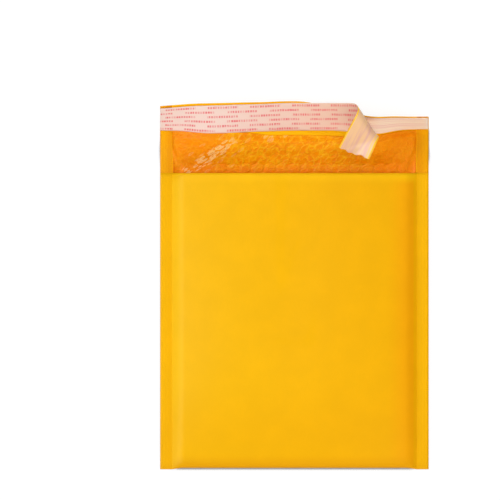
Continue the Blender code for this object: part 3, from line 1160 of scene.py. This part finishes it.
@dataclass
class AdhesiveBand:
    """The band of adhesive across the flap."""

    shape: EnvelopeShape
    finish: AdhesiveFinish = field(default_factory=AdhesiveFinish)
    thickness: float = 0.0003
    inset: float = 0.0006
    columns: int = 160
    rows: int = 26

    def build(self) -> bpy.types.Object:
        """The finished piece, in place of its solid."""
        shape = self.shape
        half = shape.width / 2 - self.inset
        x = np.linspace(-half, half, self.columns)
        end = shape.band_start + shape.liner_width - self.inset
        stations = [(Part.FLAP, float(s)) for s in np.linspace(shape.band_start + self.inset, end, self.rows)]
        points = np.zeros((len(stations), len(x), 3))
        for row, (part, s) in enumerate(stations):
            for column, across in enumerate(x):
                at = (part, s - float(shape.skew(across)))
                points[row, column] = shape.on_sheet(np.array([across]), at, shape.lining_depth)[0]
        flat = [np.stack([x, np.full_like(x, at[1] - shape.band_start)], axis=1) for at in stations]
        piece = MeshTools.sheet("adhesive_band", points, np.array(flat))
        MeshTools.thicken(piece, self.thickness)
        piece.data.materials.append(self.finish.material())
        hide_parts("adhesive_strip")
        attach(piece, "root")
        return piece


@dataclass
class ReleaseLiner:
    """The release liner: bonded along the left of the flap, lifted and folded over at its right end."""

    shape: EnvelopeShape
    face: LinerFaceFinish = field(default_factory=LinerFaceFinish)
    back: LinerBackFinish = field(default_factory=LinerBackFinish)
    thickness: float = 0.00025
    depth: float = 0.0012
    lift_start: float = 13.4
    lift_angle: float = 25.8
    lift_bend: float = 0.008
    lift_flattening: float = 11.9
    flatten_from: float = 0.0280
    flatten_to: float = 0.0597
    free_run: float = 0.0383
    torn_off: float = 0.0036
    fold_angle: float = 57.7
    roll_turn: float = 169.0
    roll_length: float = 0.0190
    tail_curl: float = 2.0
    columns: int = 230
    rows: int = 22
    ragged: float = 0.0016
    ragged_reach: float = 0.012

    @lru_cache(maxsize=None)
    def at_lift_off(self, s: float) -> Vector:
        """The liner's point on the lift-off line at a distance along the flap."""
        row = self.shape.on_sheet(np.array([self.shape.lift_off_x]), (Part.FLAP, s), self.depth)
        return Vector(row[0])

    def __hash__(self) -> int:
        """Each liner is its own key for the cached points."""
        return id(self)

    @staticmethod
    def path(turn: Callable[[np.ndarray], np.ndarray], length: float) -> tuple[float, float]:
        """Distance forward and up after walking length, where turn gives the slope at each place."""
        steps = max(1, math.ceil(length / WALK_STEP))
        places = (np.arange(steps) + 0.5) * length / steps
        slopes = turn(places)
        stride = length / steps
        return float(np.cos(slopes).sum() * stride), float(np.sin(slopes).sum() * stride)

    def lifted(self, length: float, s: float) -> Vector:
        """A point of the liner that has left the flap.

        Args:
            length: Its distance from the lift-off line.
            s: Its distance along the flap when bonded.

        Returns:
            The point.
        """
        free_edge = self.at_lift_off(self.shape.band_start + self.shape.liner_width)
        across = self.at_lift_off(s) - free_edge

        def slope(places: np.ndarray) -> np.ndarray:
            """The liner's slope at each place."""
            rise = self.lift_angle - self.lift_start
            return np.radians(self.lift_start + rise * ease(places / self.lift_bend))

        forward, up = self.path(slope, length)
        near_end = (length - self.flatten_from) / (self.flatten_to - self.flatten_from)
        flattening = math.radians(self.lift_flattening) * float(ease(near_end))
        flatten = Matrix.Rotation(-flattening, 3, "X")
        return free_edge + flatten @ across + Vector((forward, 0, up))

    def place(self, u: float, v: float) -> Vector:
        """Where a point of the flat liner goes.

        Args:
            u: Its place along the liner, from the middle of the envelope.
            v: Its place up the liner, from the lower edge.

        Returns:
            The point, in the frame's axes.
        """
        s = self.shape.band_start + v - float(self.shape.skew(u))
        if u <= self.shape.lift_off_x:
            return Vector(self.shape.on_sheet(np.array([u]), (Part.FLAP, s), self.depth)[0])
        run = u - self.shape.lift_off_x
        angle = math.radians(self.fold_angle)
        sin, cos = math.sin(angle), math.cos(angle)
        past = (run - self.free_run) * sin + (v - self.shape.liner_width) * cos
        if past <= 0:
            return self.lifted(run, s)
        foot_run, foot_s = run - past * sin, s - past * cos
        foot = self.lifted(foot_run, foot_s)
        east = (foot - self.lifted(foot_run - WIDE_NUDGE, foot_s)).normalized()
        above, below = (self.lifted(foot_run, foot_s + step) for step in (WIDE_NUDGE, -WIDE_NUDGE))
        north = (above - below).normalized()
        ahead = (east * sin + north * cos).normalized()
        out = east.cross(north).normalized()

        def turn(places: np.ndarray) -> np.ndarray:
            """How far the liner has rolled over at each place."""
            rolled = self.roll_turn * ease(places / self.roll_length)
            tail = self.tail_curl * np.maximum(0.0, places / self.roll_length - 1)
            return np.radians(rolled + tail)

        forward, up = self.path(turn, past)
        return foot + ahead * forward + out * up

    def torn(self, u: float, v: float) -> float:
        """u moved back where the torn end is short, near that end."""
        across = v / self.shape.liner_width
        short = 0.5 + 0.35 * math.sin(9.0 * across + 0.4) + 0.3 * math.sin(23.0 * across + 2.1)
        end = self.shape.width / 2 - self.torn_off
        return u - self.ragged * short * float(ease(1 - (end - u) / self.ragged_reach))

    def build(self) -> bpy.types.Object:
        """The finished piece, in place of its solid."""
        half = self.shape.width / 2
        along = np.linspace(-half, half - self.torn_off, self.columns)
        up = np.linspace(0, self.shape.liner_width, self.rows)
        rows = [[self.place(self.torn(float(u), float(v)), float(v)) for u in along] for v in up]
        flat = [[(float(u), float(v)) for u in along] for v in up]
        piece = MeshTools.sheet("liner_strip", np.array(rows), np.array(flat))
        solidify = MeshTools.thicken(piece, self.thickness)
        piece.data.materials.append(self.face.material())
        piece.data.materials.append(self.back.material())
        solidify.material_offset = 1
        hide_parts("release_liner")
        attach(piece, "root")
        return piece


@dataclass(frozen=True)
class Sun:
    """One soft sun: its strength, the direction towards it, its width in degrees and what it lights."""

    name: str
    strength: float
    towards: tuple[float, float, float]
    softness: float
    diffuse: bool = True
    glossy: bool = False

    def build(self) -> None:
        """Adds the sun to the scene."""
        lamp = bpy.data.lights.new(self.name, "SUN")
        lamp.energy = self.strength
        lamp.angle = math.radians(self.softness)
        sun = MeshTools.linked(self.name, lamp)
        sun.rotation_euler = Vector(self.towards).to_track_quat("Z", "Y").to_euler()
        sun.visible_diffuse = self.diffuse
        sun.visible_glossy = self.glossy


@dataclass
class Studio:
    """The floor, the soft lights and the camera, none of them part of the envelope."""

    span: float = 0.343
    centre: tuple[float, float] = (-0.03045, 0.04885)
    floor_size: float = 4.0
    world_strength: float = 0.32
    suns: tuple[Sun, ...] = (
        Sun("key", 1.30, (-0.80, 0.10, 0.60), 30.0, glossy=True),
        Sun("gleam", 1.80, (-0.66, 0.10, 0.75), 36.0, diffuse=False, glossy=True),
        Sun("fill", 0.50, (0.75, -0.30, 0.55), 40.0),
        Sun("top", 1.01, (0.05, 0.10, 1.0), 40.0),
        Sun("front", 1.31, (0.10, -0.95, 0.25), 40.0),
        Sun("back", 0.90, (0.20, 0.95, 0.18), 40.0),
    )
    floor_glow: float = 0.84
    floor_tone: float = 0.20
    floor_drop: float = 0.0002
    camera_height: float = 1.2
    contact_reach: float = 0.0040
    contact_span: Span = (0.55, 0.87)
    contact_glow: float = 0.22

    def floor(self) -> None:
        """A plain white floor that keeps the envelope's shadow."""
        bm = bmesh.new()
        bmesh.ops.create_grid(bm, x_segments=1, y_segments=1, size=self.floor_size / 2)
        bmesh.ops.translate(bm, vec=(0, 0, -self.floor_drop), verts=bm.verts)
        floor = MeshTools.finished("floor", bm)
        material = bpy.data.materials.new("floor")
        material.use_nodes = True
        nodes = Nodes(material.node_tree)
        shader = material.node_tree.nodes["Principled BSDF"]
        shader.inputs["Base Color"].default_value = (self.floor_tone,) * 3 + (1.0,)
        shader.inputs["Roughness"].default_value = 0.9
        shader.inputs["Specular IOR Level"].default_value = 0.0
        rays = nodes.add("LightPath")
        seen = nodes.math("MAXIMUM", rays.outputs["Is Camera Ray"], rays.outputs["Is Glossy Ray"])
        seen = nodes.math("MAXIMUM", seen, rays.outputs["Is Transmission Ray"])
        contact = nodes.add("AmbientOcclusion", Distance=self.contact_reach).outputs["AO"]
        open_floor = nodes.math("MAXIMUM", nodes.ramp(contact, *self.contact_span), self.contact_glow)
        glow = nodes.times(seen, nodes.times(open_floor, self.floor_glow))
        shader.inputs["Emission Color"].default_value = (1, 1, 1, 1)
        nodes.put(shader.inputs["Emission Strength"], glow)
        floor.data.materials.append(material)
        floor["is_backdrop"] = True

    def world(self) -> None:
        """Even light from all round, plain white behind everything and left out of reflections."""
        world = bpy.data.worlds.new("studio")
        world.use_nodes = True
        nodes = Nodes(world.node_tree)
        background = world.node_tree.nodes["Background"]
        background.inputs["Color"].default_value = (1, 1, 1, 1)
        seen = nodes.add("LightPath").outputs["Is Camera Ray"]
        raised = nodes.times(seen, 1 - self.world_strength)
        nodes.put(background.inputs["Strength"], nodes.plus(self.world_strength, raised))
        bpy.context.scene.world = world
        world.cycles_visibility.glossy = False

    def camera(self) -> None:
        """A camera straight above, with no perspective."""
        lens = bpy.data.cameras.new("camera")
        lens.type = "ORTHO"
        lens.ortho_scale = self.span
        camera = MeshTools.linked("camera", lens)
        camera.location = (*self.centre, self.camera_height)
        bpy.context.scene.camera = camera

    def build(self) -> None:
        """Sets up everything round the envelope."""
        self.floor()
        self.world()
        for sun in self.suns:
            sun.build()
        self.camera()
        bpy.context.scene.view_settings.view_transform = "Standard"


def save_sizes(start: Sequence[Vector], end: Sequence[Vector]) -> None:
    """Puts the lowest and highest corner before anything was added and at the end into a table, which is then
    dropped.
    """
    {"start": [list(c) for c in start], "end": [list(c) for c in end]}


def main() -> None:
    """Builds the envelope and the studio round it."""
    logging.basicConfig(level=logging.INFO, format="%(name)s: %(message)s")
    shape = EnvelopeShape()
    paper = PaperShell(shape).build()
    LOG.info("%s", paper.name)
    welds = SeamWelds(shape, paper.data.materials[0]).build()
    LOG.info("%s", welds.name)
    for part in (BubbleLining(shape), AdhesiveBand(shape), ReleaseLiner(shape)):
        LOG.info("%s", part.build().name)
    Studio().build()
    save_sizes(START_BOUNDS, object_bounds())


if __name__ == "__main__":
    main()
